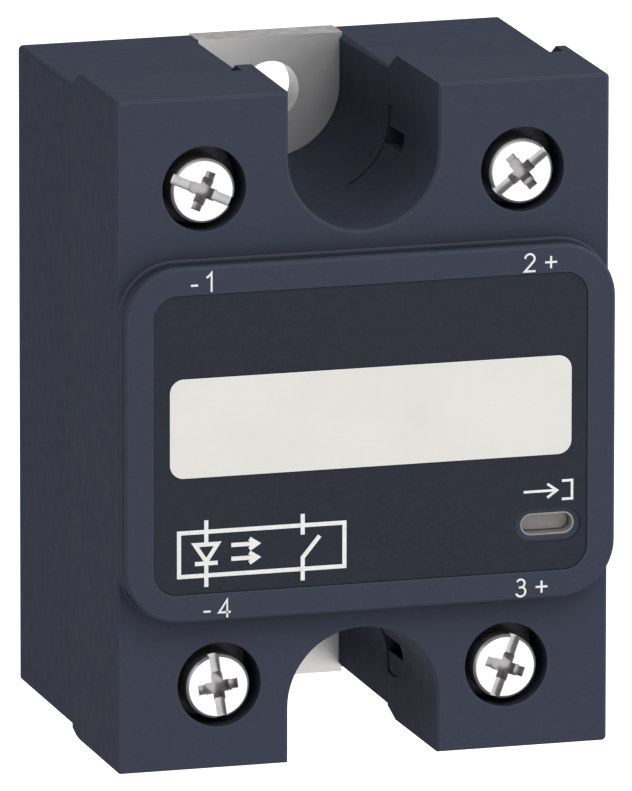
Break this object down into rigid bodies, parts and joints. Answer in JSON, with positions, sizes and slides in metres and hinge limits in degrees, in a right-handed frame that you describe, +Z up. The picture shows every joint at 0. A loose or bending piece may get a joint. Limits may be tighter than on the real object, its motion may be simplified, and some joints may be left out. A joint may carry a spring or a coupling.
{
  "type": "solid state relay",
  "caption": "Panel-mount solid state relay: potted power stage on a bare metal base, screw terminals under a lift-off cover with a label frame and indicator.",
  "frame": {"origin": "back face of the base plate, in the middle of the housing; the midpoint between the mounting holes is 0.3 mm below it", "axes": "+Z up between the mounting holes, -Y out of the label side, +X to the right when facing the label"},
  "size_m": [0.0434, 0.0337, 0.0584],
  "materials": {
    "housing_plastic": "fine moulded texture, blue-black",
    "cover_plastic": "fine moulded texture, blue-black",
    "plate_aluminium": "brushed",
    "alumina": "matt",
    "copper": "bare copper, satin",
    "silicon": "polished silicon with aluminium pads",
    "black_moulding": "moulded epoxy",
    "white_moulding": "moulded epoxy",
    "potting": "soft translucent silicone gel",
    "nickel_plate": "nickel plated",
    "board_green": "glass-epoxy laminate with solder mask",
    "chip_ceramic": "glazed",
    "capacitor_sleeve": "shrink sleeve",
    "diode_glass": "glass with a dark band",
    "varistor_coat": "dipped epoxy",
    "led_epoxy": "clear epoxy, tinted",
    "panel_film": "printed film, slightly grained",
    "white_strip": "matt writing surface",
    "lens_plastic": "frosted light pipe",
    "tinned_brass": "tinned",
    "clamp_steel": "zinc plated",
    "screw_nickel": "bright nickel plated, turned face"
  },
  "bodies": {
    "base": {"base_plate": "plate_aluminium", "base_housing": "housing_plastic", "ceramic_substrate": "alumina", "copper_pads": "copper", "power_dies": "silicon", "source_clip": "copper", "freewheel_diode": "black_moulding", "potting_gel": "potting", "output_bar_1": "tinned_brass", "output_bar_2": "tinned_brass", "input_bar_3": "tinned_brass", "input_bar_4": "tinned_brass", "terminal_nuts": "nickel_plate", "control_board": "board_green", "optocoupler": "white_moulding", "driver_transistor": "black_moulding", "chip_resistors": "chip_ceramic", "storage_capacitor": "capacitor_sleeve", "zener_diode": "diode_glass", "surge_suppressor": "varistor_coat", "gate_pins": "nickel_plate", "status_led": "led_epoxy"},
    "cover": {"terminal_cover": "cover_plastic", "label_panel": "panel_film", "label_strip": "white_strip", "led_lens": "lens_plastic"},
    "clamp_1": {"clamp_plate_1": "clamp_steel"},
    "screw_1": {"terminal_screw_1": "screw_nickel"},
    "clamp_2": {"clamp_plate_2": "clamp_steel"},
    "screw_2": {"terminal_screw_2": "screw_nickel"},
    "clamp_3": {"clamp_plate_3": "clamp_steel"},
    "screw_3": {"terminal_screw_3": "screw_nickel"},
    "clamp_4": {"clamp_plate_4": "clamp_steel"},
    "screw_4": {"terminal_screw_4": "screw_nickel"}
  },
  "joints": [
    {"name": "cover_pull_off", "type": "slide", "parent": "base", "child": "cover", "axis": [0, -1, 0], "range_m": [0, 0.025]},
    {"name": "clamp_1_travel", "type": "slide", "parent": "base", "child": "clamp_1", "axis": [0, 1, 0], "range_m": [0, 0.0028]},
    {"name": "screw_1_turn", "type": "hinge", "parent": "clamp_1", "child": "screw_1", "pos_m": [-0.01405, -0.0288, 0.02135], "axis": [0, 1, 0], "range_deg": [0, 1440]},
    {"name": "clamp_2_travel", "type": "slide", "parent": "base", "child": "clamp_2", "axis": [0, 1, 0], "range_m": [0, 0.0028]},
    {"name": "screw_2_turn", "type": "hinge", "parent": "clamp_2", "child": "screw_2", "pos_m": [0.01405, -0.0288, 0.02135], "axis": [0, 1, 0], "range_deg": [0, 1440]},
    {"name": "clamp_3_travel", "type": "slide", "parent": "base", "child": "clamp_3", "axis": [0, 1, 0], "range_m": [0, 0.0028]},
    {"name": "screw_3_turn", "type": "hinge", "parent": "clamp_3", "child": "screw_3", "pos_m": [0.01275, -0.0288, -0.02185], "axis": [0, 1, 0], "range_deg": [0, 1440]},
    {"name": "clamp_4_travel", "type": "slide", "parent": "base", "child": "clamp_4", "axis": [0, 1, 0], "range_m": [0, 0.0028]},
    {"name": "screw_4_turn", "type": "hinge", "parent": "clamp_4", "child": "screw_4", "pos_m": [-0.01275, -0.0288, -0.02185], "axis": [0, 1, 0], "range_deg": [0, 1440]}
  ],
  "couplings": [
    {"joint": "screw_1_turn", "follows": "clamp_1_travel", "rad_per_m": 8976},
    {"joint": "screw_2_turn", "follows": "clamp_2_travel", "rad_per_m": 8976},
    {"joint": "screw_3_turn", "follows": "clamp_3_travel", "rad_per_m": 8976},
    {"joint": "screw_4_turn", "follows": "clamp_4_travel", "rad_per_m": 8976}
  ]
}
